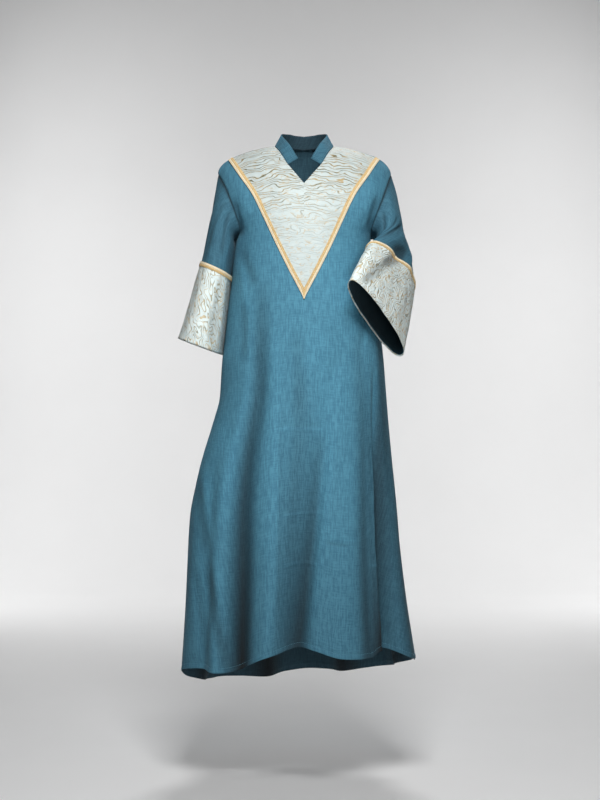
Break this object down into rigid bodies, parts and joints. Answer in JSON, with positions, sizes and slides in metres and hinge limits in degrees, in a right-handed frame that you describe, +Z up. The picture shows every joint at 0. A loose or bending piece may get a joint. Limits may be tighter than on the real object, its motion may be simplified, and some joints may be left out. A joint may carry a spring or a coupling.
{
  "type": "kaftan",
  "caption": "Long A-line kaftan in worn form: brocade V yoke and wide cuffs edged with braid, stand collar with slit neck, one sleeve hanging, one bent forward; open at neck, hem and cuffs.",
  "frame": {"origin": "middle of the shoulder line at the base of the neck, where the wearer's shoulders hold the garment up", "axes": "+Z up along the garment's length, -Y towards its front, +X towards the wearer's left"},
  "size_m": [0.607, 0.4888, 1.4308],
  "materials": {
    "teal_cloth": "matte slub weave",
    "pale_brocade": "satin brocade with gold crinkle lines",
    "gold_braid": "satin woven braid"
  },
  "bodies": {
    "root": {"front": "teal_cloth", "back": "teal_cloth", "collar": "teal_cloth", "yoke": "pale_brocade", "yoke_braid": "gold_braid", "sleeve_right": "teal_cloth", "sleeve_left": "teal_cloth", "cuff_right": "pale_brocade", "cuff_left": "pale_brocade", "cuff_braid_right": "gold_braid", "cuff_braid_left": "gold_braid"}
  },
  "joints": []
}
